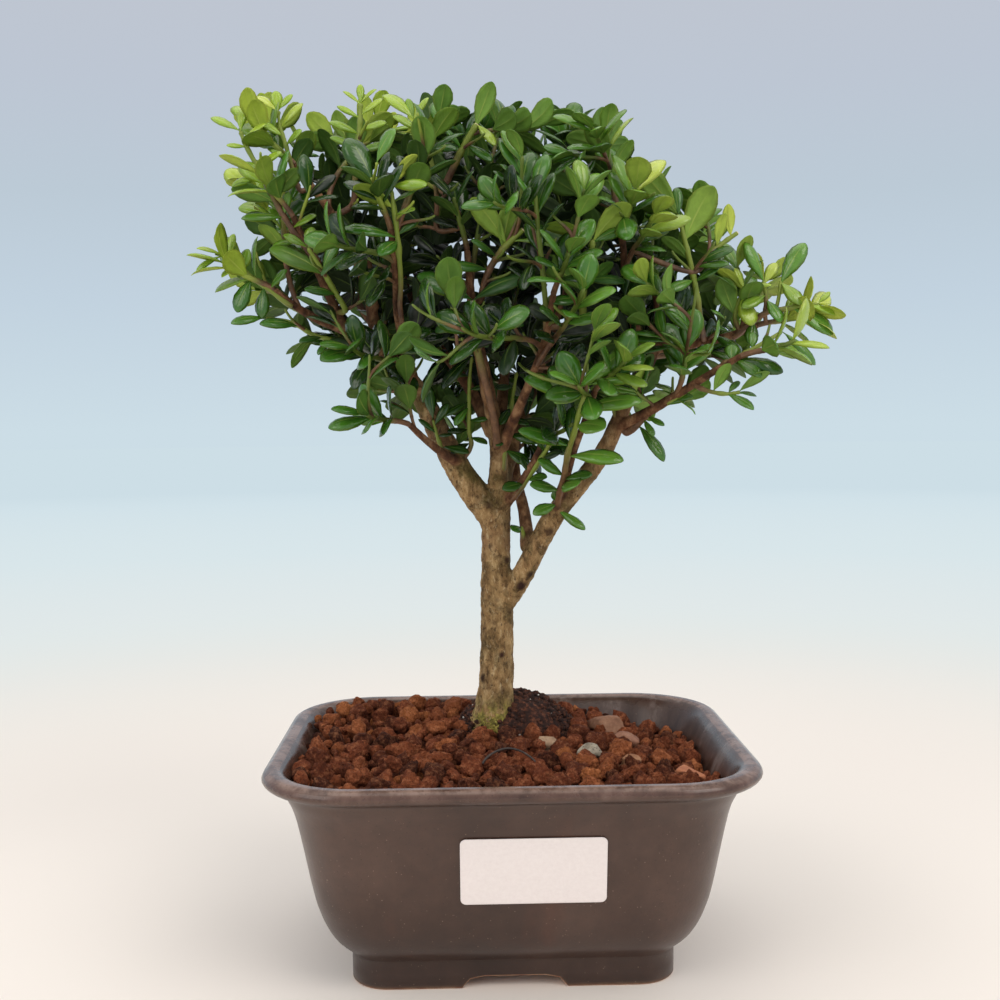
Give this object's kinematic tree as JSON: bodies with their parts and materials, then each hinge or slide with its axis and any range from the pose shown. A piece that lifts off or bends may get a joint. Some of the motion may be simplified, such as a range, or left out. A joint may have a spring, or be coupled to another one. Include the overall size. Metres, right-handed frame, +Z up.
{
  "type": "bonsai",
  "caption": "Japanese holly bonsai: a forked informal upright trunk with spreading limbs and a domed canopy of small oval leaves, in a rounded-corner glazed pot with gravel.",
  "frame": {"origin": "middle of the box round the whole object, at the level of the underside of the pot's foot", "axes": "+Z up, +X to the right and +Y away from the viewer, seen from the front wall of the pot that carries the label"},
  "size_m": [0.2056, 0.1374, 0.2818],
  "materials": {
    "glaze": "dark taupe semi-matte stoneware glaze with fine speckles",
    "label_paper": "blank matte white adhesive label",
    "lava": "rough red-brown lava grains",
    "peat": "dark crumbly peat with fine roots and white perlite",
    "bark": "grey-tan bark, reddish brown on the young limbs",
    "leaf_dark": "waxy dark green upper side, matte paler underside",
    "leaf_lime": "soft waxy lime-green young leaves",
    "pebble": "pale tan and grey weathered stone"
  },
  "bodies": {
    "root": {"label": "label_paper", "lava_gravel": "lava", "pebble_1": "pebble", "pebble_2": "pebble", "pebble_3": "pebble", "pebble_4": "pebble", "pebble_5": "pebble", "pebble_6": "pebble", "pot": "glaze", "root_ball": "peat", "spray_green_05": "leaf_dark", "spray_green_07": "leaf_dark", "spray_green_08": "leaf_dark", "spray_green_10": "leaf_dark", "spray_green_11": "leaf_dark", "spray_green_12": "leaf_dark", "spray_green_13": "leaf_dark", "spray_green_14": "leaf_dark", "spray_green_16": "leaf_dark", "spray_green_17": "leaf_dark", "spray_green_18": "leaf_dark", "spray_green_19": "leaf_dark", "spray_green_20": "leaf_dark", "spray_green_21": "leaf_dark", "spray_green_23": "leaf_dark", "spray_green_24": "leaf_dark", "spray_green_25": "leaf_dark", "spray_green_26": "leaf_dark", "spray_green_27": "leaf_dark", "spray_green_28": "leaf_dark", "spray_green_30": "leaf_dark", "spray_green_31": "leaf_dark", "spray_green_32": "leaf_dark", "spray_green_34": "leaf_dark", "spray_green_35": "leaf_dark", "spray_green_36": "leaf_dark", "spray_green_37": "leaf_dark", "spray_green_39": "leaf_dark", "spray_green_40": "leaf_dark", "spray_green_41": "leaf_dark", "spray_green_42": "leaf_dark", "spray_green_43": "leaf_dark", "spray_green_44": "leaf_dark", "spray_green_45": "leaf_dark", "spray_green_46": "leaf_dark", "spray_green_47": "leaf_dark", "spray_green_48": "leaf_dark", "spray_lime_01": "leaf_lime", "spray_lime_02": "leaf_lime", "spray_lime_03": "leaf_lime", "spray_lime_04": "leaf_lime", "spray_lime_06": "leaf_lime", "spray_lime_09": "leaf_lime", "spray_lime_15": "leaf_lime", "spray_lime_22": "leaf_lime", "spray_lime_29": "leaf_lime", "spray_lime_33": "leaf_lime", "spray_lime_38": "leaf_lime", "trunk_and_limbs": "bark"}
  },
  "joints": []
}
